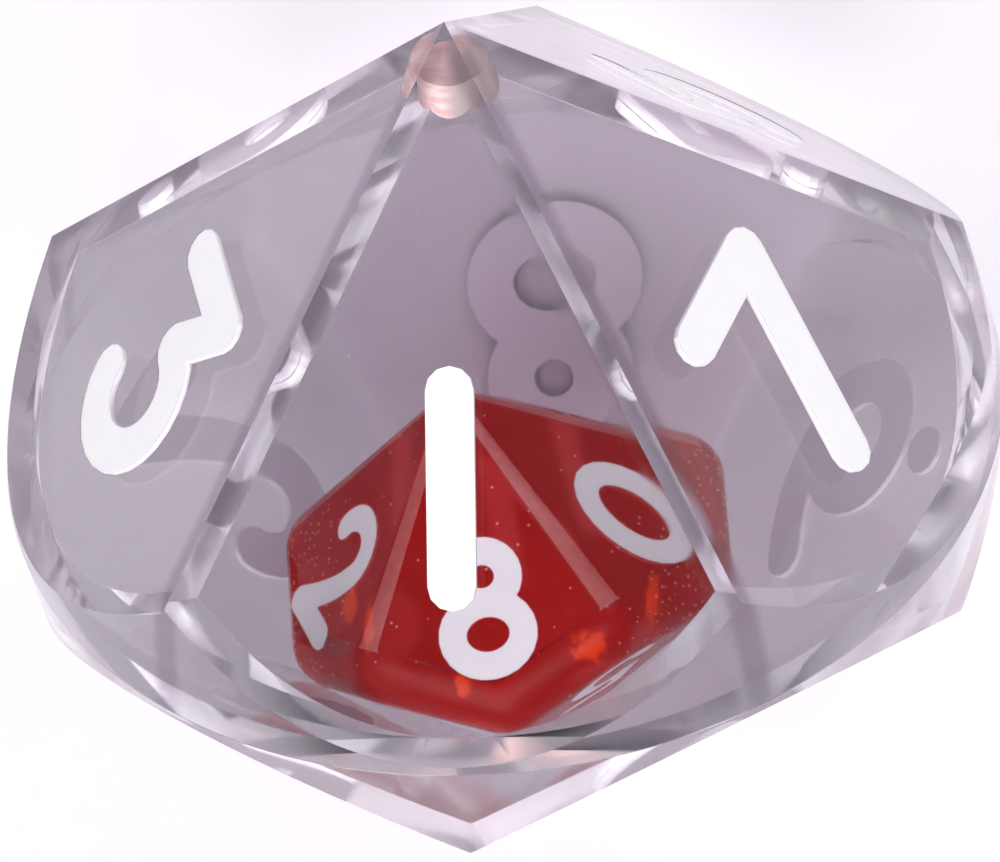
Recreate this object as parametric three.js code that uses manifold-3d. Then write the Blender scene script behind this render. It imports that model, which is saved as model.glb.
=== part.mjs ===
// Double ten-sided die: a clear two-piece shell with a smaller loose die sealed inside it.
//
// Units are millimetres. The shell rests on the face that carries its 8, which lies on z = 0, so
// the face that carries its 1 is level on top. The origin is the point of the floor under the
// shell's centre. The shell's own axis runs from apex to apex and leans towards +Y.
//
// Each half is first built in "half space": axis along +Z, the open rim in the plane z = 0, and
// face 0 turned towards -Y. The lower half is the same shape turned half way round the X axis,
// which makes every face parallel to the one opposite it.

import * as THREE from 'three';
import { mergeVertices } from 'three/addons/utils/BufferGeometryUtils.js';
import { ConvexGeometry } from 'three/addons/geometries/ConvexGeometry.js';
import Module from 'manifold-3d';

const wasm = await Module();
wasm.setup();

// ---- Driving dimensions ----------------------------------------------------------------------

const SIDES = 5; // faces on each half of a die
const FACE_STEP = (2 * Math.PI) / SIDES;
const FIRST_FACE = -Math.PI / 2; // azimuth of face 0, towards -Y

const SHELL_SLOPE = THREE.MathUtils.degToRad(46.6); // between a shell face and the rim plane
const SHELL_APEX = 14.5; // from the shell's centre to either apex
const SEAM_RADIUS = 13.5; // outside of the round belt, at the rim
const BELT_TAPER = 0.136; // how far the belt draws in for each millimetre away from the rim
const FACE_WALL = 1.18; // wall under the flat faces
const BELT_WALL = 1.4; // wall at the rim
const CEMENT_GAP = 0.03; // film of cement between the two rims
const BELT_SEGMENTS = 80;

const PLUG_RADIUS = 0.85;
const PLUG_TOP = 12.98; // height of the plug's hidden outer end, along the axis
const PLUG_CLEARANCE = 0.02;
const PLUG_SEGMENTS = 32;

const INNER_SLOPE = THREE.MathUtils.degToRad(44.5);
const INNER_RADIUS = 6.88; // from the inner die's axis to its side corners, before rounding
const INNER_APEX_ROUNDING = 0.65; // radius of the inner die's two tumbled apexes
const INNER_CORNER_ROUNDING = 1.3; // radius of its side corners, which tumbling wears more
const INNER_ROUNDING_STEPS = 3;
const INNER_CENTRE = new THREE.Vector3(-0.51, -3.86, -3.03); // from the shell's centre
const INNER_TURN = THREE.MathUtils.degToRad(10); // about the vertical
const INNER_LEAN = THREE.MathUtils.degToRad(8.5); // its top face dips towards +Y

const STROKE = 0.64; // half the width of a numeral's stroke on the shell
const NUMERAL_DEPTH = 0.35; // how deep the shell's numerals are cut
const INNER_NUMERAL_SCALE = 0.6;
const INNER_NUMERAL_DEPTH = 0.22;
const PAINT_SETBACK = 0.03; // the paint lies this far under the face
const PAINT_CLEARANCE = 0.02; // between the paint and the walls of its recess
const TURN_SEGMENTS = 24; // straight pieces in a full turn of a stroke
const CAP_SEGMENTS = 6; // straight pieces in a stroke's round end

// Numerals on each half, in half space, anticlockwise from face 0. Opposite faces add up to 9.
const SHELL_UPPER_NUMERALS = [1, 7, 5, 9, 3];
const SHELL_LOWER_NUMERALS = [8, 6, 0, 4, 2];
const INNER_UPPER_NUMERALS = [8, 0, 6, 4, 2];
const INNER_LOWER_NUMERALS = [1, 7, 5, 3, 9];

// Where a numeral's middle lies, measured up the face from the foot of the centre's perpendicular.
const NUMERAL_HEIGHT = -2.6;
const ONE_HEIGHT = -1.73; // the narrow 1 sits nearer the apex
const INNER_NUMERAL_HEIGHT = -1.8;
const INNER_ONE_HEIGHT = -1.4;

// ---- Sizes that follow from them -------------------------------------------------------------

const CENTRE_TO_FACE = SHELL_APEX * Math.cos(SHELL_SLOPE);
const CAVITY_APEX = (CENTRE_TO_FACE - FACE_WALL) / Math.cos(SHELL_SLOPE);

// A true trapezohedron's apex and side corners, as multiples of its radius and of tan(slope).
const APEX_RATIO = (1 + Math.cos(Math.PI / SIDES)) / 2;
const CORNER_RATIO = (1 - Math.cos(Math.PI / SIDES)) / 2;

// ---- Materials -------------------------------------------------------------------------------

const clearPlastic = new THREE.MeshStandardMaterial({
  color: 0xb6abba, roughness: 0.06, metalness: 0, transparent: true, opacity: 0.35,
});
const plugPlastic = new THREE.MeshStandardMaterial({ color: 0xcda79c, roughness: 0.35, metalness: 0 });
const redPlastic = new THREE.MeshStandardMaterial({ color: 0xa82420, roughness: 0.25, metalness: 0 });
const whitePaint = new THREE.MeshStandardMaterial({ color: 0xf4f2f4, roughness: 0.55, metalness: 0 });

// ---- Solids ----------------------------------------------------------------------------------

function solidFrom(geometry) {
  const bare = geometry.clone();
  bare.deleteAttribute('normal');
  bare.deleteAttribute('uv');
  const merged = mergeVertices(bare, 1e-5);
  return new wasm.Manifold(new wasm.Mesh({
    numProp: 3,
    vertProperties: new Float32Array(merged.attributes.position.array),
    triVerts: new Uint32Array(merged.index.array),
  }));
}

function geometryFrom(solid) {
  const mesh = solid.getMesh();
  const geometry = new THREE.BufferGeometry();
  geometry.setAttribute('position', new THREE.BufferAttribute(mesh.vertProperties, 3));
  geometry.setIndex(new THREE.BufferAttribute(mesh.triVerts, 1));
  geometry.computeVertexNormals();
  return geometry;
}

function namedMesh(name, solid, material) {
  const mesh = new THREE.Mesh(geometryFrom(solid), material);
  mesh.name = name;
  return mesh;
}

// ---- Numerals --------------------------------------------------------------------------------

// A numeral is a list of strokes. A stroke is its centre line, with round ends, or a closed loop.
const line = (...points) => ({ points: points.map(([x, y]) => new THREE.Vector2(x, y)), loop: false });

function arc(x, y, radiusX, radiusY, fromDegrees, toDegrees) {
  const start = THREE.MathUtils.degToRad(fromDegrees);
  const end = THREE.MathUtils.degToRad(toDegrees);
  const curve = new THREE.EllipseCurve(x, y, radiusX, radiusY, start, end, end < start);
  const pieces = Math.ceil((TURN_SEGMENTS * Math.abs(end - start)) / (2 * Math.PI));
  return { points: curve.getPoints(pieces), loop: false };
}

function ring(x, y, radiusX, radiusY) {
  const curve = new THREE.EllipseCurve(x, y, radiusX, radiusY, 0, 2 * Math.PI);
  return { points: curve.getPoints(TURN_SEGMENTS).slice(0, TURN_SEGMENTS), loop: true };
}

function bend(from, control, to) {
  const ends = [from, control, to].map(([x, y]) => new THREE.Vector2(x, y));
  return { points: new THREE.QuadraticBezierCurve(...ends).getPoints(TURN_SEGMENTS / 3), loop: false };
}

const turnedOver = (strokes) => strokes.map((stroke) => ({
  points: stroke.points.map((point) => point.clone().negate()),
  loop: stroke.loop,
}));

const SIX = [ring(0, -1.05, 1.6, 1.62), bend([0.95, 2.75], [-1.35, 1.6], [-1.6, -0.95])];
const DOT = [line([2.5, -2.95], [2.6, -2.95])]; // tells a 6 from a 9
const DOTTED = [6, 9];

const NUMERALS = {
  0: [ring(0, 0, 1.7, 2.55)],
  1: [line([0, -2.58], [0, 2.58])],
  2: [
    arc(0.05, 1.15, 1.45, 1.5, 165, -35),
    bend([1.24, 0.29], [0.65, -0.95], [-1.5, -2.6]),
    line([-1.5, -2.6], [1.75, -2.6]),
  ],
  3: [
    line([-1.75, 2.72], [1.42, 2.66]),
    line([1.42, 2.66], [0.05, 0.75]),
    arc(0, -1.0, 1.75, 1.72, 88, -158),
  ],
  4: [line([0.7, 2.7], [-1.75, -1.0]), line([-1.75, -1.0], [1.9, -1.0]), line([0.7, 2.7], [0.7, -2.7])],
  5: [
    line([1.5, 2.65], [-1.05, 2.65]),
    line([-1.05, 2.65], [-1.3, 0.3]),
    arc(0, -0.95, 1.75, 1.72, 132, -155),
  ],
  6: SIX,
  '6_dot': DOT,
  7: [line([-2.05, 2.52], [1.55, 2.68]), line([1.55, 2.68], [-1.0, -2.72])],
  8: [ring(0.08, 1.42, 1.2, 1.16), ring(-0.05, -1.2, 1.62, 1.42)],
  9: turnedOver(SIX),
  '9_dot': DOT,
};

// Points beside a centre line, at the given distance to its left.
function beside(stroke, distance) {
  const { points, loop } = stroke;
  const count = points.length;
  return points.map((point, i) => {
    const before = points[loop ? (i + count - 1) % count : Math.max(i - 1, 0)];
    const after = points[loop ? (i + 1) % count : Math.min(i + 1, count - 1)];
    const along = after.clone().sub(before).normalize();
    return new THREE.Vector2(point.x - along.y * distance, point.y + along.x * distance);
  });
}

function roundEnd(centre, from) {
  const spoke = from.clone().sub(centre);
  return Array.from({ length: CAP_SEGMENTS - 1 }, (_, i) => {
    const angle = (-Math.PI * (i + 1)) / CAP_SEGMENTS;
    return spoke.clone().rotateAround(new THREE.Vector2(), angle).add(centre);
  });
}

function strokeShape(stroke, halfWidth) {
  const left = beside(stroke, halfWidth);
  const right = beside(stroke, -halfWidth);
  if (stroke.loop) {
    const shape = new THREE.Shape(right);
    shape.holes.push(new THREE.Path(left));
    return shape;
  }
  const last = stroke.points.length - 1;
  return new THREE.Shape([
    ...left,
    ...roundEnd(stroke.points[last], left[last]),
    ...right.reverse(),
    ...roundEnd(stroke.points[0], right[last]),
  ]);
}

// A numeral as a block from z = bottom to z = top, the face itself being z = 0.
function numeralBlock(numeral, halfWidth, bottom, top) {
  const options = { depth: top - bottom, bevelEnabled: false };
  return NUMERALS[numeral]
    .map((stroke) => solidFrom(new THREE.ExtrudeGeometry(strokeShape(stroke, halfWidth), options)))
    .reduce((whole, part) => whole.add(part))
    .translate([0, 0, bottom]);
}

// ---- Faces of a die in half space ------------------------------------------------------------

function faceNormal(face, slope) {
  const azimuth = FIRST_FACE + face * FACE_STEP;
  return new THREE.Vector3(
    Math.sin(slope) * Math.cos(azimuth), Math.sin(slope) * Math.sin(azimuth), Math.cos(slope),
  );
}

// Puts a face's own frame (X across, Y towards the apex, Z out of the face) into half space.
function facePlacement(face, slope, centreToFace, height, scale) {
  const outward = faceNormal(face, slope);
  const azimuth = FIRST_FACE + face * FACE_STEP;
  const across = new THREE.Vector3(-Math.sin(azimuth), Math.cos(azimuth), 0);
  const upward = outward.clone().cross(across);
  return new THREE.Matrix4()
    .makeBasis(across, upward, outward)
    .setPosition(outward.clone().multiplyScalar(centreToFace).addScaledVector(upward, height))
    .scale(new THREE.Vector3(scale, scale, 1));
}

// For one half: the recesses to cut, and the paint that fills them.
function numeralSet(numerals, slope, centreToFace, heights, scale, depth) {
  const clearance = PAINT_CLEARANCE / scale;
  const placed = numerals.flatMap((numeral, face) => {
    const height = numeral === 1 ? heights.one : heights.others;
    const matrix = facePlacement(face, slope, centreToFace, height, scale).elements;
    const marks = DOTTED.includes(numeral) ? [numeral, `${numeral}_dot`] : [numeral];
    return marks.map((mark) => ({
      mark,
      recess: numeralBlock(mark, STROKE + clearance, -depth - PAINT_CLEARANCE, depth).transform(matrix),
      paint: numeralBlock(mark, STROKE, -depth, -PAINT_SETBACK).transform(matrix),
    }));
  });
  return {
    recesses: placed.map(({ recess }) => recess).reduce((whole, part) => whole.add(part)),
    paints: placed,
  };
}

// ---- Shell -----------------------------------------------------------------------------------

// The solid inside one half's five planes and its tapered belt, from z = rim upwards.
function halfBody(apex, rimRadius, rim) {
  const reach = apex / Math.tan(SHELL_SLOPE) / Math.cos(Math.PI / SIDES);
  const pyramid = new THREE.ConeGeometry(reach, apex, SIDES)
    .rotateX(Math.PI / 2)
    .rotateZ(Math.PI / SIDES)
    .translate(0, 0, apex / 2);
  const belt = new THREE.CylinderGeometry(
    rimRadius - BELT_TAPER * apex, rimRadius - BELT_TAPER * rim, apex - rim, BELT_SEGMENTS,
  )
    .rotateX(Math.PI / 2)
    .translate(0, 0, (apex + rim) / 2);
  return solidFrom(pyramid).intersect(solidFrom(belt));
}

const cavitySolid = () => halfBody(CAVITY_APEX, SEAM_RADIUS - BELT_WALL, 0);

function halfShell(recesses) {
  return halfBody(SHELL_APEX, SEAM_RADIUS, CEMENT_GAP / 2).subtract(cavitySolid()).subtract(recesses);
}

// A cylinder on the shell's axis that starts inside the cavity and ends blind under the apex.
function plugCylinder(radius, top) {
  const start = CAVITY_APEX - 2 * PLUG_RADIUS;
  return solidFrom(
    new THREE.CylinderGeometry(radius, radius, top - start, PLUG_SEGMENTS)
      .rotateX(Math.PI / 2)
      .translate(0, 0, (start + top) / 2),
  );
}

function buildShell() {
  const heights = { one: ONE_HEIGHT, others: NUMERAL_HEIGHT };
  const upper = numeralSet(SHELL_UPPER_NUMERALS, SHELL_SLOPE, CENTRE_TO_FACE, heights, 1, NUMERAL_DEPTH);
  const lower = numeralSet(SHELL_LOWER_NUMERALS, SHELL_SLOPE, CENTRE_TO_FACE, heights, 1, NUMERAL_DEPTH);
  const plugHole = plugCylinder(PLUG_RADIUS + PLUG_CLEARANCE, PLUG_TOP + PLUG_CLEARANCE);
  const plug = plugCylinder(PLUG_RADIUS, PLUG_TOP).subtract(cavitySolid());

  const upperGroup = new THREE.Group();
  upperGroup.add(namedMesh('upper_shell', halfShell(upper.recesses).subtract(plugHole), clearPlastic));
  upperGroup.add(namedMesh('apex_plug', plug, plugPlastic));
  const lowerGroup = new THREE.Group();
  lowerGroup.add(namedMesh('lower_shell', halfShell(lower.recesses), clearPlastic));
  lowerGroup.rotation.x = Math.PI;
  for (const [group, set] of [[upperGroup, upper], [lowerGroup, lower]]) {
    for (const { mark, paint } of set.paints) {
      group.add(namedMesh(`shell_numeral_${mark}`, paint, whitePaint));
    }
  }
  return new THREE.Group().add(upperGroup, lowerGroup);
}

// ---- Inner die -------------------------------------------------------------------------------

// Directions that cover the rounded corner between three or five face normals.
function cornerDirections(normals) {
  const middle = normals.reduce((sum, normal) => sum.add(normal), new THREE.Vector3()).normalize();
  const directions = [];
  normals.forEach((normal, i) => {
    const next = normals[(i + 1) % normals.length];
    for (let a = 0; a <= INNER_ROUNDING_STEPS; a += 1) {
      for (let b = 0; a + b <= INNER_ROUNDING_STEPS; b += 1) {
        const c = INNER_ROUNDING_STEPS - a - b;
        directions.push(new THREE.Vector3()
          .addScaledVector(normal, a).addScaledVector(next, b).addScaledVector(middle, c).normalize());
      }
    }
  });
  return directions;
}

// Every corner is a ball that touches the faces which meet there; the hull of the balls is the die.
function roundedTrapezohedron() {
  const rise = Math.tan(INNER_SLOPE) * INNER_RADIUS;
  const centreToFace = APEX_RATIO * rise * Math.cos(INNER_SLOPE);
  const up = Array.from({ length: SIDES }, (_, face) => faceNormal(face, INNER_SLOPE));
  const down = up.map((normal) => normal.clone().negate());

  const corners = [
    { at: new THREE.Vector3(0, 0, APEX_RATIO * rise), normals: up, radius: INNER_APEX_ROUNDING },
  ];
  for (let face = 0; face < SIDES; face += 1) {
    const azimuth = FIRST_FACE + (face + 0.5) * FACE_STEP;
    corners.push({
      at: new THREE.Vector3(
        INNER_RADIUS * Math.cos(azimuth), INNER_RADIUS * Math.sin(azimuth), CORNER_RATIO * rise,
      ),
      normals: [up[face], up[(face + 1) % SIDES], down[(face + (SIDES + 1) / 2) % SIDES]],
      radius: INNER_CORNER_ROUNDING,
    });
  }
  const points = new Map();
  for (const { at, normals, radius } of corners) {
    const centre = at.clone().multiplyScalar((centreToFace - radius) / centreToFace);
    for (const direction of cornerDirections(normals)) {
      const point = centre.clone().addScaledVector(direction, radius);
      for (const place of [point, point.clone().negate()]) {
        points.set(place.toArray().map((value) => value.toFixed(4)).join(), place);
      }
    }
  }
  return { solid: solidFrom(new ConvexGeometry([...points.values()])), centreToFace };
}

function buildInnerDie() {
  const { solid, centreToFace } = roundedTrapezohedron();
  const heights = { one: INNER_ONE_HEIGHT, others: INNER_NUMERAL_HEIGHT };
  const makeSet = (numerals) => numeralSet(
    numerals, INNER_SLOPE, centreToFace, heights, INNER_NUMERAL_SCALE, INNER_NUMERAL_DEPTH,
  );
  const upper = makeSet(INNER_UPPER_NUMERALS);
  const lower = makeSet(INNER_LOWER_NUMERALS);
  const lowerRecesses = lower.recesses.rotate([180, 0, 0]);

  const upperGroup = new THREE.Group();
  upperGroup.add(namedMesh('inner_die', solid.subtract(upper.recesses).subtract(lowerRecesses), redPlastic));
  const lowerGroup = new THREE.Group();
  lowerGroup.rotation.x = Math.PI;
  for (const [group, set] of [[upperGroup, upper], [lowerGroup, lower]]) {
    for (const { mark, paint } of set.paints) {
      group.add(namedMesh(`inner_numeral_${mark}`, paint, whitePaint));
    }
  }
  return new THREE.Group().add(upperGroup, lowerGroup);
}

// ---- Assembly --------------------------------------------------------------------------------

const shell = buildShell();
shell.rotation.x = -SHELL_SLOPE;

const innerDie = buildInnerDie();
innerDie.position.copy(INNER_CENTRE);
innerDie.rotation.set(-INNER_LEAN - INNER_SLOPE, 0, INNER_TURN, 'ZYX');

const die = new THREE.Group();
die.position.z = CENTRE_TO_FACE;
die.add(shell, innerDie);

export default die;
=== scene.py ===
import math

import bmesh
import bpy
from mathutils import Matrix, Vector


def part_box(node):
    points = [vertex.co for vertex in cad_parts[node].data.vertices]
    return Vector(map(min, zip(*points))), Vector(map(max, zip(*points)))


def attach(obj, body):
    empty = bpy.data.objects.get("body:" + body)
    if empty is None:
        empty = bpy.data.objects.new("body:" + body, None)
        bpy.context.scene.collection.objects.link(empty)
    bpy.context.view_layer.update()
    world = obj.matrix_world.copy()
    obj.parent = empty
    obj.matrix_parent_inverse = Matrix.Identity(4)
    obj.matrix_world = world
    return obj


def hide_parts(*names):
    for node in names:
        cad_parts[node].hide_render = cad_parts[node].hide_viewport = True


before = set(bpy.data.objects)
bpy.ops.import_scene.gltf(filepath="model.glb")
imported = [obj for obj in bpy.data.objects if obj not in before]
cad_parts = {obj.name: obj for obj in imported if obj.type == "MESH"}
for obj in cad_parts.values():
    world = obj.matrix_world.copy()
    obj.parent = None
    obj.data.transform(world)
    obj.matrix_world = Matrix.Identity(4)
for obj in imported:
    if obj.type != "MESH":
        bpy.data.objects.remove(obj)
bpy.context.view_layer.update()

# The shapes are built in millimetres in "half space": the die's own axis along +Z, the rim of a
# half in the plane z = 0, and face 0 turned towards -Y. Matrices then put them in the row frame.

MM = 0.001
SIDES = 5
FACE_STEP = math.tau / SIDES
FIRST_FACE = -math.pi / 2

SHELL_SLOPE = math.radians(46.6)
SHELL_APEX = 14.5
CENTRE_TO_FACE = SHELL_APEX * math.cos(SHELL_SLOPE)
SEAM_RADIUS = 13.5
BELT_TAPER = 0.136
FACE_WALL = 1.18
BELT_WALL = 1.4
CAVITY_APEX = (CENTRE_TO_FACE - FACE_WALL) / math.cos(SHELL_SLOPE)
RIM = 0.015
BELT_SEGMENTS = 240
EDGE_ROUND = 0.13
CAVITY_EDGE_ROUND = 0.1
SHARP = math.radians(25)
CLOSE = 1e-7

PLUG_RADIUS = 0.85
PLUG_TOP = 12.98
PLUG_CLEARANCE = 0.02

INNER_SLOPE = math.radians(44.5)
INNER_RADIUS = 6.88
INNER_APEX_ROUNDING = 0.65
INNER_CORNER_ROUNDING = 1.3
INNER_ROUNDING_STEPS = 8
INNER_CENTRE = Vector((-0.51, -3.86, -3.03))
INNER_TURN = math.radians(10)
INNER_LEAN = math.radians(8.5)

# Painted glints: spots where light gathers in the red plastic in the resting pose, painted into its
# colour as orange light: x, y, half width and half length.
PAINTED_GLINTS = [
    (-4.15, -4.85, 0.3, 0.6),
    (-3.5, -5.5, 0.2, 0.75),
    (2.5, -6.05, 0.55, 0.5),
    (4.1, -4.75, 0.22, 0.9),
    (-0.9, -7.0, 0.3, 0.4),
]

PAINT_SETBACK = 0.03
PAINT_OVERLAP = 0.008
RECESS_OVERSHOOT = 0.3
RIDGE_ARC = 0.06
WELD = 1e-3

SHELL_PAINTS = [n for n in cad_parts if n.startswith("shell_numeral_")]
INNER_PAINTS = [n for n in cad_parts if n.startswith("inner_numeral_")]

TO_ROW = Matrix.Scale(MM, 4) @ Matrix.Translation((0, 0, CENTRE_TO_FACE))
SHELL_PLACE = TO_ROW @ Matrix.Rotation(-SHELL_SLOPE, 4, "X")
LOWER_PLACE = SHELL_PLACE @ Matrix.Rotation(math.pi, 4, "X")
INNER_PLACE = (
    TO_ROW
    @ Matrix.Translation(INNER_CENTRE)
    @ Matrix.Rotation(INNER_TURN, 4, "Z")
    @ Matrix.Rotation(-INNER_LEAN - INNER_SLOPE, 4, "X")
)


# ---- Mesh helpers ----------------------------------------------------------------------------


def face_normal(face, slope):
    azimuth = FIRST_FACE + face * FACE_STEP
    level = math.sin(slope)
    return Vector((level * math.cos(azimuth), level * math.sin(azimuth), math.cos(slope)))


def object_from(bm, name, place):
    bm.transform(place)
    mesh = bpy.data.meshes.new(name)
    bm.to_mesh(mesh)
    bm.free()
    piece = bpy.data.objects.new(name, mesh)
    bpy.context.scene.collection.objects.link(piece)
    return piece


def bake_modifiers(piece):
    graph = bpy.context.evaluated_depsgraph_get()
    mesh = bpy.data.meshes.new_from_object(piece.evaluated_get(graph))
    piece.modifiers.clear()
    piece.data = mesh


def cut(piece, cutter, operation="DIFFERENCE"):
    modifier = piece.modifiers.new("cut", "BOOLEAN")
    modifier.operation = operation
    modifier.solver = "MANIFOLD"
    modifier.object = cutter
    bake_modifiers(piece)
    bpy.data.objects.remove(cutter)


def merge_close(piece):
    """Merges the corners that the cuts leave less than a tenth of a micron apart."""
    bm = bmesh.new()
    bm.from_mesh(piece.data)
    bmesh.ops.remove_doubles(bm, verts=bm.verts[:], dist=CLOSE)
    bmesh.ops.dissolve_degenerate(bm, dist=CLOSE, edges=bm.edges[:])
    bm.to_mesh(piece.data)
    bm.free()


def smooth_flats(piece):
    """Smooth shading that keeps large flats flat and sharp edges sharp."""
    merge_close(piece)
    piece.data.polygons.foreach_set("use_smooth", [True] * len(piece.data.polygons))
    piece.data.set_sharp_from_angle(angle=SHARP)
    modifier = piece.modifiers.new("flat_faces", "WEIGHTED_NORMAL")
    modifier.keep_sharp = True
    modifier.weight = 100
    bake_modifiers(piece)


# ---- Shell -----------------------------------------------------------------------------------


def half_body(apex, rim_radius, rim):
    """The solid inside one half's five planes and its tapered belt, as a bmesh."""
    bm = bmesh.new()
    rings = []
    for z in (rim, apex):
        radius = rim_radius - BELT_TAPER * z
        turns = [math.tau * i / BELT_SEGMENTS for i in range(BELT_SEGMENTS)]
        rings.append([bm.verts.new((radius * math.cos(t), radius * math.sin(t), z)) for t in turns])
    low, high = rings
    for i in range(BELT_SEGMENTS):
        j = (i + 1) % BELT_SEGMENTS
        bm.faces.new((low[i], low[j], high[j], high[i]))
    bm.faces.new(low[::-1])
    bm.faces.new(high)
    for face in range(SIDES):
        normal = face_normal(face, SHELL_SLOPE)
        everything = bm.verts[:] + bm.edges[:] + bm.faces[:]
        plane = normal * (apex * math.cos(SHELL_SLOPE))
        bmesh.ops.bisect_plane(
            bm, geom=everything, dist=1e-6, plane_co=plane, plane_no=normal, clear_outer=True
        )
        open_edges = [e for e in bm.edges if e.is_boundary]
        bmesh.ops.edgenet_fill(bm, edges=open_edges)
    bmesh.ops.recalc_face_normals(bm, faces=bm.faces[:])
    return bm


def round_edges(bm, radius):
    """Rounds every sharp edge except those around the rim."""
    edges = [
        e
        for e in bm.edges
        if len(e.link_faces) == 2
        and e.calc_face_angle() > SHARP
        and not all(v.co.z < RIM + 1e-4 for v in e.verts)
    ]
    bmesh.ops.bevel(
        bm, geom=edges, offset=radius, segments=3, profile=0.5, affect="EDGES", clamp_overlap=True
    )


def half_shell(name, place):
    """One hollow half: the outside, the reversed cavity and the ring of rim between them."""
    outside = half_body(SHELL_APEX, SEAM_RADIUS, RIM)
    round_edges(outside, EDGE_ROUND)
    cavity = half_body(CAVITY_APEX, SEAM_RADIUS - BELT_WALL, RIM)
    round_edges(cavity, CAVITY_EDGE_ROUND)
    bmesh.ops.reverse_faces(cavity, faces=cavity.faces[:])
    for bm, sign in ((outside, -1), (cavity, 1)):
        bm.normal_update()
        rim = max((f for f in bm.faces if f.normal.z * sign > 0.99), key=lambda f: len(f.verts))
        bmesh.ops.delete(bm, geom=[rim], context="FACES_ONLY")
    spare = bpy.data.meshes.new("cavity")
    cavity.to_mesh(spare)
    cavity.free()
    outside.from_mesh(spare)
    bpy.data.meshes.remove(spare)
    open_edges = [e for e in outside.edges if e.is_boundary]
    ring = bmesh.ops.bridge_loops(outside, edges=open_edges)
    for face in ring["faces"]:
        face.material_index = 1
    bmesh.ops.recalc_face_normals(outside, faces=outside.faces[:])
    return object_from(outside, name, place)


def cylinder(radius, low, high, place, name="cylinder"):
    bm = bmesh.new()
    bmesh.ops.create_cone(
        bm, cap_ends=True, segments=64, radius1=radius, radius2=radius, depth=high - low
    )
    bmesh.ops.translate(bm, verts=bm.verts[:], vec=(0, 0, (low + high) / 2))
    return object_from(bm, name, place)


def numeral_cutter(node, place, slope, centre_to_face):
    """The recess for a numeral: its paint's own outline, carried out through the face."""
    bm = bmesh.new()
    bm.from_mesh(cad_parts[node].data)
    bm.transform(place.inverted())
    bmesh.ops.remove_doubles(bm, verts=bm.verts[:], dist=WELD)
    middle = sum((v.co for v in bm.verts), Vector()) / len(bm.verts)
    normals = [face_normal(face, slope) for face in range(SIDES)]
    normal = max(normals, key=lambda n: n.dot(middle))
    for v in bm.verts:
        height = normal.dot(v.co) - centre_to_face
        if height > -2 * PAINT_SETBACK:
            v.co += normal * (RECESS_OVERSHOOT - height)
    bmesh.ops.recalc_face_normals(bm, faces=bm.faces[:])
    return object_from(bm, "recess", place)


def nodes_on(paints, place):
    """The numerals that lie on the half whose half space this place is."""
    found = []
    inverse = place.inverted()
    for node in paints:
        low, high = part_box(node)
        if (inverse @ ((low + high) / 2)).z > 0:
            found.append(node)
    return found


def build_shell_half(name, place, node):
    piece = half_shell(name, place)
    for numeral in nodes_on(SHELL_PAINTS, place):
        cut(piece, numeral_cutter(numeral, place, SHELL_SLOPE, CENTRE_TO_FACE))
    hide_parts(node)
    return piece


def mark_cavity(piece, place):
    """Stores 1 on the surfaces that face the middle of the die and 0 on the others."""
    mesh = piece.data
    middle = place.to_translation()
    cavity = mesh.attributes.new("cavity", "FLOAT", "CORNER")
    for polygon in mesh.polygons:
        inward = polygon.normal.dot(polygon.center - middle) < 0
        for corner in polygon.loop_indices:
            cavity.data[corner].value = inward


lower_shell = build_shell_half("lower_shell_moulding", LOWER_PLACE, "lower_shell")
upper_shell = build_shell_half("upper_shell_moulding", SHELL_PLACE, "upper_shell")
PLUG_START = CAVITY_APEX - 2 * PLUG_RADIUS
hole_end = PLUG_TOP + PLUG_CLEARANCE
cut(upper_shell, cylinder(PLUG_RADIUS + PLUG_CLEARANCE, PLUG_START, hole_end, SHELL_PLACE))

plug_radius = PLUG_RADIUS + PLUG_CLEARANCE + PAINT_OVERLAP
plug_end = hole_end + PAINT_OVERLAP
apex_plug = cylinder(plug_radius, PLUG_START, plug_end, SHELL_PLACE, "apex_plug_moulding")
plug_trim = half_body(CAVITY_APEX, SEAM_RADIUS - BELT_WALL, RIM)
cut(apex_plug, object_from(plug_trim, "plug_trim", SHELL_PLACE))
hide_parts("apex_plug")

for piece in (lower_shell, upper_shell, apex_plug):
    smooth_flats(piece)
    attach(piece, "shell")
mark_cavity(lower_shell, LOWER_PLACE)
mark_cavity(upper_shell, SHELL_PLACE)


# ---- Inner die -------------------------------------------------------------------------------


def corner_directions(normals):
    middle = sum(normals, Vector()).normalized()
    directions = []
    for i, normal in enumerate(normals):
        after = normals[(i + 1) % len(normals)]
        for a in range(INNER_ROUNDING_STEPS + 1):
            for b in range(INNER_ROUNDING_STEPS + 1 - a):
                c = INNER_ROUNDING_STEPS - a - b
                directions.append((normal * a + after * b + middle * c).normalized())
    return directions


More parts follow.
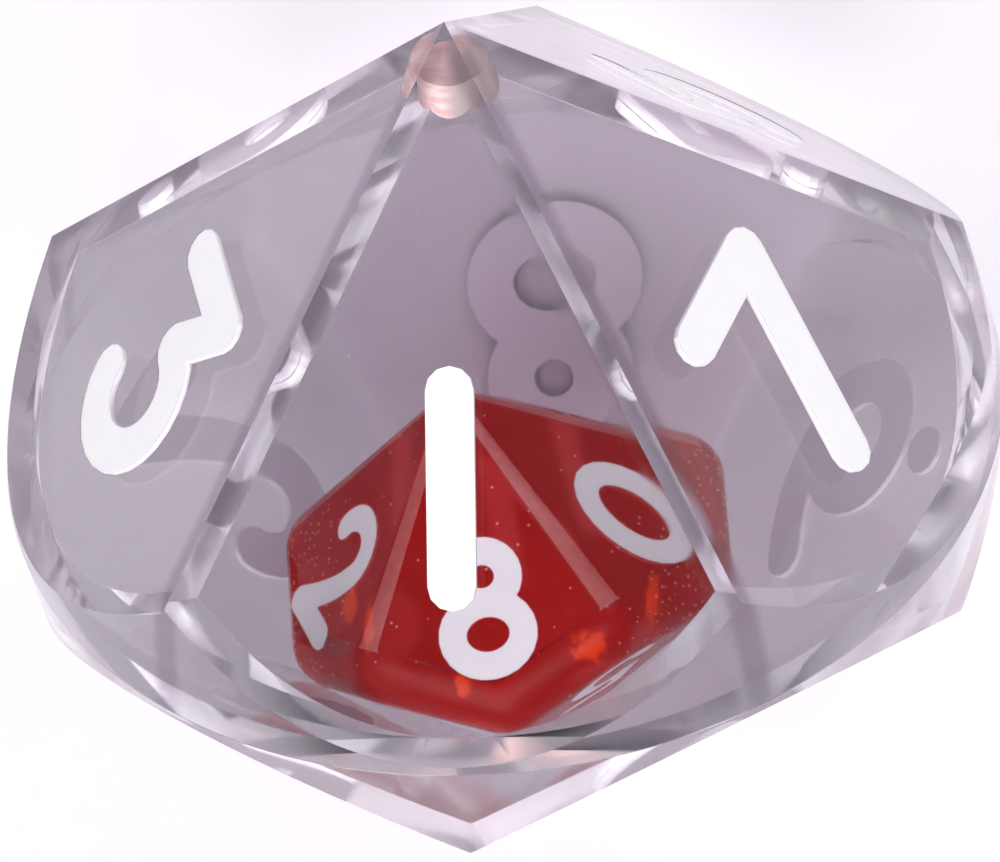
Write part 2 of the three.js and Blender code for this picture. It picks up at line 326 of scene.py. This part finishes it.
def inner_body():
    rise = math.tan(INNER_SLOPE) * INNER_RADIUS
    apex = rise * (1 + math.cos(math.pi / SIDES)) / 2
    centre_to_face = apex * math.cos(INNER_SLOPE)
    up = [face_normal(face, INNER_SLOPE) for face in range(SIDES)]
    corners = [(Vector((0, 0, apex)), up, INNER_APEX_ROUNDING)]
    for face in range(SIDES):
        azimuth = FIRST_FACE + (face + 0.5) * FACE_STEP
        at = Vector((
            INNER_RADIUS * math.cos(azimuth),
            INNER_RADIUS * math.sin(azimuth),
            rise * (1 - math.cos(math.pi / SIDES)) / 2,
        ))
        below = -up[(face + (SIDES + 1) // 2) % SIDES]
        corners.append((at, [up[face], up[(face + 1) % SIDES], below], INNER_CORNER_ROUNDING))
    bm = bmesh.new()
    for at, normals, radius in corners:
        for direction in corner_directions(normals):
            point = at * (1 - radius / centre_to_face) + direction * radius
            bm.verts.new(point)
            bm.verts.new(-point)
    bmesh.ops.remove_doubles(bm, verts=bm.verts[:], dist=1e-4)
    hull = bmesh.ops.convex_hull(bm, input=bm.verts[:])
    left_over = hull["geom_interior"] + hull["geom_unused"]
    spare = {v for v in left_over if isinstance(v, bmesh.types.BMVert)}
    bmesh.ops.delete(bm, geom=list(spare), context="VERTS")
    bmesh.ops.dissolve_limit(
        bm, angle_limit=math.radians(0.2), verts=bm.verts[:], edges=bm.edges[:]
    )
    return bm, centre_to_face


def mark_worn_edges(piece, place, slope):
    """Stores how far each face is turned away from the flats: 0 on a flat, 1 along a ridge."""
    mesh = piece.data
    turn = place.inverted().to_3x3()
    up = [face_normal(face, slope) for face in range(SIDES)]
    ridges = [(s * up[i], s * up[(i + 1) % SIDES]) for i in range(SIDES) for s in (1, -1)]
    half_dihedral = up[0].angle(up[1]) / 2
    wear = mesh.attributes.new("wear", "FLOAT", "CORNER")
    for polygon in mesh.polygons:
        direction = (turn @ polygon.normal).normalized()
        amount = 0
        for one, other in ridges:
            angles = (direction.angle(one), direction.angle(other))
            off_arc = abs(direction.dot(one.cross(other).normalized()))
            if max(angles) < 2 * half_dihedral and off_arc < RIDGE_ARC:
                amount = min(angles) / half_dihedral
        for corner in polygon.loop_indices:
            wear.data[corner].value = amount


body, INNER_FACE = inner_body()
inner_die = object_from(body, "inner_die_moulding", INNER_PLACE)
INNER_LOWER_PLACE = INNER_PLACE @ Matrix.Rotation(math.pi, 4, "X")
for half in (INNER_PLACE, INNER_LOWER_PLACE):
    for numeral in nodes_on(INNER_PAINTS, half):
        cut(inner_die, numeral_cutter(numeral, half, INNER_SLOPE, INNER_FACE))
smooth_flats(inner_die)
mark_worn_edges(inner_die, INNER_PLACE, INNER_SLOPE)
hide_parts("inner_die")
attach(inner_die, "loose_die")


# ---- Paint -----------------------------------------------------------------------------------


def thicken_paint(paint):
    """The paint grips the walls of its recess: it is welded, then grown by a few microns."""
    weld = paint.modifiers.new("weld", "WELD")
    weld.merge_threshold = 1e-6
    grow = paint.modifiers.new("grow", "DISPLACE")
    grow.mid_level = 0
    grow.strength = PAINT_OVERLAP * MM


for node in SHELL_PAINTS + INNER_PAINTS:
    thicken_paint(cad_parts[node])


# ---- Materials -------------------------------------------------------------------------------


CLEAR_OUTSIDE = (0.80, 0.77, 0.81, 1)
CLEAR_BELT = (0.76, 0.73, 0.775, 1)
# Partly the plastic's lilac cast, partly painted shade for the die's shadow on the floor beneath
# it.
CAVITY_TINT_AND_PAINTED_SHADE = (0.50, 0.475, 0.51, 1)
# Ridge tints: painted shade along the upper half's ridges, painted light along the lower half's.
UPPER_RIDGES_PAINTED_SHADE = (0.42, 0.37, 0.44, 1)
LOWER_RIDGES_PAINTED_LIGHT = (0.86, 0.83, 0.87, 1)
CLEAR_PANE = (0.985, 0.975, 0.985)
CEMENT_PANE = (0.97, 0.96, 0.975, 1)

RED_DEEP = (0.36, 0.007, 0.009, 1)
RED_PALE = (0.52, 0.016, 0.013, 1)
# Colour of the painted glints.
RED_PAINTED_GLINT = (1.0, 0.075, 0.015, 1)
RED_WORN = (0.86, 0.46, 0.43, 1)
RED_PANE = (0.92, 0.84, 0.86)

PLUG_DEEP = (0.80, 0.52, 0.50, 1)
PLUG_PALE = (0.97, 0.80, 0.77, 1)
# Painted shade on one side of the plug.
PLUG_SHADE = (0.52, 0.43, 0.43, 1)
PLUG_PANE = (0.9, 0.8, 0.8)

PAINT_GREY = (0.91, 0.90, 0.925, 1)
PAINT_WHITE = (0.96, 0.955, 0.97, 1)
PAINT_FLECK = (0.25, 0.22, 0.24, 1)
# Painted shade for the back of the paint, seen through the shell.
PAINT_BACK_PAINTED_SHADE = (0.75, 0.70, 0.77, 1)

PLASTIC_IOR = 1.49

# Where a change of tint starts and where it is complete.
# Ridges: a roughness haze from wear, and the band of the painted ridge shading.
RIDGE_HAZE_AND_SHADING = (0.5 * MM, 0.15 * MM)
BELT_HAZE = (12.6 * MM, 13.1 * MM)
RED_ENDS = (3.6 * MM, 5.8 * MM)
PLUG_SHADE_EDGE = (-0.3 * MM, 0.3 * MM)
PAINT_FRONT = (0.25 * MM, 0.1 * MM)
WORN_RIDGE = (0.36, 0.5)


def new_material(name):
    material = bpy.data.materials.new(name)
    material.use_nodes = True
    return material, material.node_tree, material.node_tree.nodes["Principled BSDF"]


def pass_lamps(tree, shader, tint):
    """Lamp light crosses the surface as through a tinted pane, so what lies inside is lit."""
    output = tree.nodes["Material Output"]
    pane = tree.nodes.new("ShaderNodeBsdfTransparent")
    pane.inputs["Color"].default_value = (*tint, 1)
    path = tree.nodes.new("ShaderNodeLightPath")
    mix = tree.nodes.new("ShaderNodeMixShader")
    tree.links.new(path.outputs["Is Shadow Ray"], mix.inputs[0])
    tree.links.new(shader.outputs[0], mix.inputs[1])
    tree.links.new(pane.outputs[0], mix.inputs[2])
    tree.links.new(mix.outputs[0], output.inputs["Surface"])


def cement():
    material = bpy.data.materials.new("cement")
    material.use_nodes = True
    tree = material.node_tree
    tree.nodes.clear()
    shader = tree.nodes.new("ShaderNodeBsdfTransparent")
    shader.inputs["Color"].default_value = CEMENT_PANE
    output = tree.nodes.new("ShaderNodeOutputMaterial")
    tree.links.new(shader.outputs[0], output.inputs["Surface"])
    return material


class Nodes:
    """Short forms for the nodes the materials are made of."""

    def __init__(self, tree):
        self.tree = tree
        self.place = tree.nodes.new("ShaderNodeTexCoord").outputs["Object"]

    def feed(self, value, socket):
        if isinstance(value, bpy.types.NodeSocket):
            self.tree.links.new(value, socket)
        else:
            socket.default_value = value

    def noise(self, scale, detail=3.0, roughness=0.5):
        node = self.tree.nodes.new("ShaderNodeTexNoise")
        self.tree.links.new(self.place, node.inputs["Vector"])
        node.inputs["Scale"].default_value = scale
        node.inputs["Detail"].default_value = detail
        node.inputs["Roughness"].default_value = roughness
        return node.outputs["Fac"]

    def streaks(self, scale, detail):
        """Noise drawn out along one direction: a scale for each axis."""
        stretch = self.tree.nodes.new("ShaderNodeMapping")
        self.tree.links.new(self.place, stretch.inputs["Vector"])
        stretch.inputs["Scale"].default_value = scale
        node = self.tree.nodes.new("ShaderNodeTexNoise")
        self.tree.links.new(stretch.outputs["Vector"], node.inputs["Vector"])
        node.inputs["Scale"].default_value = 1
        node.inputs["Detail"].default_value = detail
        return node.outputs["Fac"]

    def specks(self, scale, radius, share):
        """Round specks: a share of the cells of a Voronoi pattern holds one each."""
        node = self.tree.nodes.new("ShaderNodeTexVoronoi")
        self.tree.links.new(self.place, node.inputs["Vector"])
        node.inputs["Scale"].default_value = scale
        near = self.step(node.outputs["Distance"], radius, radius * 0.6)
        split = self.tree.nodes.new("ShaderNodeSeparateColor")
        self.tree.links.new(node.outputs["Color"], split.inputs[0])
        chosen = self.math("LESS_THAN", split.outputs[0], share)
        return self.math("MULTIPLY", near, chosen)

    def math(self, operation, a, b=0.0):
        node = self.tree.nodes.new("ShaderNodeMath")
        node.operation = operation
        self.feed(a, node.inputs[0])
        self.feed(b, node.inputs[1])
        return node.outputs[0]

    def vector(self, operation, a, b):
        node = self.tree.nodes.new("ShaderNodeVectorMath")
        node.operation = operation
        self.feed(a, node.inputs[0])
        self.feed(b, node.inputs[1])
        single = operation in ("DOT_PRODUCT", "DISTANCE", "LENGTH")
        return node.outputs["Value" if single else "Vector"]

    def step(self, value, low, high):
        """Maps low..high to 0..1, softly; low may lie above high."""
        node = self.tree.nodes.new("ShaderNodeMapRange")
        node.interpolation_type = "SMOOTHSTEP"
        self.feed(value, node.inputs["Value"])
        node.inputs["From Min"].default_value = low
        node.inputs["From Max"].default_value = high
        return node.outputs["Result"]

    def span(self, value, low, high):
        """Maps 0..1 to low..high."""
        node = self.tree.nodes.new("ShaderNodeMapRange")
        self.feed(value, node.inputs["Value"])
        node.inputs["To Min"].default_value = low
        node.inputs["To Max"].default_value = high
        return node.outputs["Result"]

    def blend(self, amount, a, b):
        node = self.tree.nodes.new("ShaderNodeMix")
        node.data_type = "RGBA"
        self.feed(amount, node.inputs[0])
        self.feed(a, node.inputs[6])
        self.feed(b, node.inputs[7])
        return node.outputs[2]

    def reaches(self, place, slope):
        """The largest and second largest distance of a point out along a half's face normals."""
        offset = self.vector("SUBTRACT", self.place, place.to_translation())
        first, second = 0.0, 0.0
        for face in range(SIDES):
            normal = (place.to_3x3() @ face_normal(face, slope)).normalized()
            reach = self.vector("DOT_PRODUCT", offset, normal)
            second = self.math("MAXIMUM", second, self.math("MINIMUM", first, reach))
            first = self.math("MAXIMUM", first, reach)
        return first, second

    def ridge_distance(self, place, slope):
        """How far a point of a half lies from the nearest ridge between two of its faces."""
        return self.math("SUBTRACT", *self.reaches(place, slope))

    def axis_distance(self, place):
        """How far a point lies from the axis of a half."""
        offset = self.vector("SUBTRACT", self.place, place.to_translation())
        axis = (place.to_3x3() @ Vector((0, 0, 1))).normalized()
        return self.vector("LENGTH", self.vector("CROSS_PRODUCT", offset, axis), (0.0, 0.0, 0.0))

    def sideways(self):
        node = self.tree.nodes.new("ShaderNodeSeparateXYZ")
        self.tree.links.new(self.place, node.inputs[0])
        return node.outputs[0]

    def away_from(self, centre):
        """Distance across the X axis from a point given in millimetres from the shell's centre."""
        return self.math("ABSOLUTE", self.math("SUBTRACT", self.sideways(), centre.x * MM))

    def column(self, x, y, wide, long):
        """A ragged upright column over a point of the floor, all in millimetres."""
        offset = self.vector("SUBTRACT", self.place, (x * MM, y * MM, 0))
        offset = self.vector("MULTIPLY", offset, (1 / (wide * MM), 1 / (long * MM), 0))
        reach = self.vector("DISTANCE", offset, (0.0, 0.0, 0.0))
        wobble = self.span(self.noise(2200, 3, 0.6), -0.9, 0.9)
        return self.step(self.math("ADD", reach, wobble), 1, 0.45)

    def attribute(self, name):
        node = self.tree.nodes.new("ShaderNodeAttribute")
        node.attribute_name = name
        return node.outputs["Fac"]

    def bump(self, height, distance):
        node = self.tree.nodes.new("ShaderNodeBump")
        node.inputs["Distance"].default_value = distance
        self.feed(height, node.inputs["Height"])
        return node.outputs["Normal"]


def clear_plastic(name, place, ridge_painted_shading):
    """Clear with a lilac cast; the cavity's darker tint is partly the plastic's cast and partly
    painted shade for the die's shadow, and the ridges are hazed by wear, with painted shade on the
    upper half's ridges and painted light on the lower half's.
    """
    material, tree, shader = new_material(name)
    nodes = Nodes(tree)
    cavity = nodes.attribute("cavity")
    ridge = nodes.step(nodes.ridge_distance(place, SHELL_SLOPE), *RIDGE_HAZE_AND_SHADING)
    belt = nodes.step(nodes.axis_distance(place), *BELT_HAZE)
    outside = nodes.blend(belt, CLEAR_OUTSIDE, CLEAR_BELT)
    # Painted shade along the upper half's ridges, painted light along the lower half's.
    outside = nodes.blend(ridge, outside, ridge_painted_shading)
    # The cavity's tint is partly the plastic's cast and partly painted shade for the die's shadow.
    tint = nodes.blend(cavity, outside, CAVITY_TINT_AND_PAINTED_SHADE)
    tree.links.new(tint, shader.inputs["Base Color"])
    shader.inputs["IOR"].default_value = PLASTIC_IOR
    shader.inputs["Transmission Weight"].default_value = 1
    haze = nodes.math("MAXIMUM", ridge, belt)
    dust = nodes.specks(900, 0.045, 0.12)
    clear = nodes.span(nodes.noise(300, 3, 0.6), 0.02, 0.05)
    hazed = nodes.math("MULTIPLY", haze, 0.12)
    dusty = nodes.math("MULTIPLY", dust, 0.5)
    rough = nodes.math("MAXIMUM", nodes.math("MAXIMUM", hazed, dusty), clear)
    tree.links.new(rough, shader.inputs["Roughness"])
    pass_lamps(tree, shader, CLEAR_PANE)
    return material


def red_plastic():
    material, tree, shader = new_material("red_plastic")
    nodes = Nodes(tree)
    body = nodes.blend(nodes.noise(260, 3, 0.55), RED_DEEP, RED_PALE)
    # Painted glints: orange light painted into the red's colour at these spots.
    for x, y, wide, long in PAINTED_GLINTS:
        body = nodes.blend(nodes.column(x, y, wide, long), body, RED_PAINTED_GLINT)
    ridge = nodes.step(nodes.attribute("wear"), *WORN_RIDGE)
    frost = nodes.math("MULTIPLY", ridge, nodes.span(nodes.noise(5000, 2, 0.6), 0.1, 0.5))
    ends = nodes.step(nodes.away_from(INNER_CENTRE), *RED_ENDS)
    dust = nodes.specks(7000, 0.3, nodes.span(ends, 0.04, 0.5))
    patch = nodes.step(nodes.noise(520, 2, 0.5), 0.55, 0.65)
    scuffs = nodes.math("MULTIPLY", nodes.specks(4600, 0.2, 0.3), patch)
    scuffs = nodes.math("MULTIPLY", scuffs, ends)
    white = nodes.math("MAXIMUM", dust, scuffs)
    white = nodes.math("MAXIMUM", nodes.math("MULTIPLY", white, 0.65), frost)
    colour = nodes.blend(white, body, RED_WORN)
    tree.links.new(colour, shader.inputs["Base Color"])
    tree.links.new(nodes.span(white, 0.2, 0.6), shader.inputs["Roughness"])
    shader.inputs["IOR"].default_value = PLASTIC_IOR
    shader.inputs["Specular IOR Level"].default_value = 0.12
    tree.links.new(nodes.span(white, 0.45, 0.05), shader.inputs["Transmission Weight"])
    tree.links.new(nodes.bump(nodes.noise(1500, 3, 0.5), 0.00001), shader.inputs["Normal"])
    pass_lamps(tree, shader, RED_PANE)
    return material


def plug_plastic():
    material, tree, shader = new_material("plug_plastic")
    nodes = Nodes(tree)
    cloud = nodes.step(nodes.streaks((900, 3600, 3600), 3), 0.35, 0.65)
    pink = nodes.blend(cloud, PLUG_DEEP, PLUG_PALE)
    # Painted shade: the plug is painted darker on its +X side.
    shade = nodes.step(nodes.sideways(), *PLUG_SHADE_EDGE)
    tree.links.new(nodes.blend(shade, pink, PLUG_SHADE), shader.inputs["Base Color"])
    shader.inputs["Roughness"].default_value = 0.35
    shader.inputs["Transmission Weight"].default_value = 0.3
    pass_lamps(tree, shader, PLUG_PANE)
    return material


def white_paint(name, place=None):
    """Filling paint: clean outside; on the shell, its side against the plastic is painted a darker
    lilac as painted shade.
    """
    material, tree, shader = new_material(name)
    nodes = Nodes(tree)
    tone = nodes.noise(700, 3, 0.6)
    colour = nodes.blend(tone, PAINT_GREY, PAINT_WHITE)
    flecks = nodes.specks(500, 0.045, 0.3)
    colour = nodes.blend(flecks, colour, PAINT_FLECK)
    if place:
        reach, _ = nodes.reaches(place, SHELL_SLOPE)
        face = CENTRE_TO_FACE * MM
        # Painted shade: the paint's back, against the plastic, is painted darker.
        outer = nodes.step(reach, *(face - depth for depth in PAINT_FRONT))
        colour = nodes.blend(outer, PAINT_BACK_PAINTED_SHADE, colour)
    tree.links.new(colour, shader.inputs["Base Color"])
    tree.links.new(nodes.span(tone, 0.45, 0.65), shader.inputs["Roughness"])
    shader.inputs["Specular IOR Level"].default_value = 0.3
    tree.links.new(nodes.bump(nodes.noise(2600, 3, 0.55), 0.000012), shader.inputs["Normal"])
    return material


def assign(piece, *materials):
    piece.data.materials.clear()
    for material in materials:
        piece.data.materials.append(material)


seam = cement()
clear_lower = clear_plastic("clear_plastic_lower", LOWER_PLACE, LOWER_RIDGES_PAINTED_LIGHT)
clear_upper = clear_plastic("clear_plastic_upper", SHELL_PLACE, UPPER_RIDGES_PAINTED_SHADE)
assign(lower_shell, clear_lower, seam)
assign(upper_shell, clear_upper, seam)
assign(apex_plug, plug_plastic())
assign(inner_die, red_plastic())
paints = (
    (white_paint("white_paint_upper", SHELL_PLACE), nodes_on(SHELL_PAINTS, SHELL_PLACE)),
    (white_paint("white_paint_lower", LOWER_PLACE), nodes_on(SHELL_PAINTS, LOWER_PLACE)),
    (white_paint("white_paint_inner"), INNER_PAINTS),
)
for paint, painted in paints:
    for node in painted:
        assign(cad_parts[node], paint)


# ---- Stage, light and camera -----------------------------------------------------------------


FLOOR_COLOUR = (0.72, 0.70, 0.73, 1)
FLOOR_GAP = 0.1 * MM
HORIZON = (0.50, 0.47, 0.52, 1)
OVERHEAD = (0.03, 0.03, 0.03, 1)
LAMP_TARGET = Vector((0, 0, 10 * MM))

SENSOR_WIDTH = 36
LENS = 541.6
CAMERA_DISTANCE = 0.405
CAMERA_BACK = Vector((0.1455, 0.0014, 0.9894)).normalized()
CAMERA_UP = Vector((0.0131, 1, -0.0033))
TARGET = Vector((-0.12, -0.245, 0)) * MM

bpy.ops.mesh.primitive_plane_add(size=4)
floor = bpy.context.object
floor.name = "floor"
floor_material, _, floor_shader = new_material("floor")
floor_shader.inputs["Base Color"].default_value = FLOOR_COLOUR
floor_shader.inputs["Roughness"].default_value = 0.7
assign(floor, floor_material)
floor.location.z = -FLOOR_GAP

# The room is bright around the horizon and dark overhead, so the level top stays clear of haze.
world = bpy.data.worlds.new("studio")
bpy.context.scene.world = world
world.use_nodes = True
room = world.node_tree
direction = room.nodes.new("ShaderNodeTexCoord").outputs["Generated"]
height = room.nodes.new("ShaderNodeSeparateXYZ")
ramp = room.nodes.new("ShaderNodeValToRGB")
ramp.color_ramp.interpolation = "EASE"
ramp.color_ramp.elements[0].position = 0.5
ramp.color_ramp.elements[0].color = HORIZON
ramp.color_ramp.elements[1].position = 0.9
ramp.color_ramp.elements[1].color = OVERHEAD
room.links.new(direction, height.inputs[0])
room.links.new(height.outputs["Z"], ramp.inputs[0])
room.links.new(ramp.outputs["Color"], room.nodes["Background"].inputs["Color"])
room.nodes["Background"].inputs["Strength"].default_value = 1


def softbox(name, place, size, power):
    light = bpy.data.lights.new(name, "AREA")
    light.shape = "RECTANGLE"
    light.size, light.size_y = size
    light.energy = power
    lamp = bpy.data.objects.new(name, light)
    bpy.context.scene.collection.objects.link(lamp)
    lamp.location = place
    lamp.rotation_mode = "QUATERNION"
    lamp.rotation_quaternion = (LAMP_TARGET - Vector(place)).to_track_quat("-Z", "Y")
    lamp.visible_camera = False
    lamp.visible_transmission = False


softbox("key", (-0.1, -0.75, 0.95), (1.2, 1.0), 21)
softbox("fill", (0.4, 0.8, 0.9), (0.8, 0.8), 6.5)

camera_data = bpy.data.cameras.new("camera")
camera_data.sensor_width = SENSOR_WIDTH
camera_data.lens = LENS
camera_data.clip_start = 0.01
camera = bpy.data.objects.new("camera", camera_data)
bpy.context.scene.collection.objects.link(camera)
right = CAMERA_UP.cross(CAMERA_BACK).normalized()
up = CAMERA_BACK.cross(right)
turn = Matrix((right, up, CAMERA_BACK)).transposed()
centre = Vector((0, 0, CENTRE_TO_FACE * MM)) + right * TARGET.x + up * TARGET.y
camera.matrix_world = Matrix.Translation(centre + CAMERA_BACK * CAMERA_DISTANCE) @ turn.to_4x4()
bpy.context.scene.camera = camera

bpy.context.scene.view_settings.view_transform = "Standard"
cycles = bpy.context.scene.cycles
cycles.max_bounces = cycles.transmission_bounces = cycles.glossy_bounces = 24
cycles.transparent_max_bounces = 32
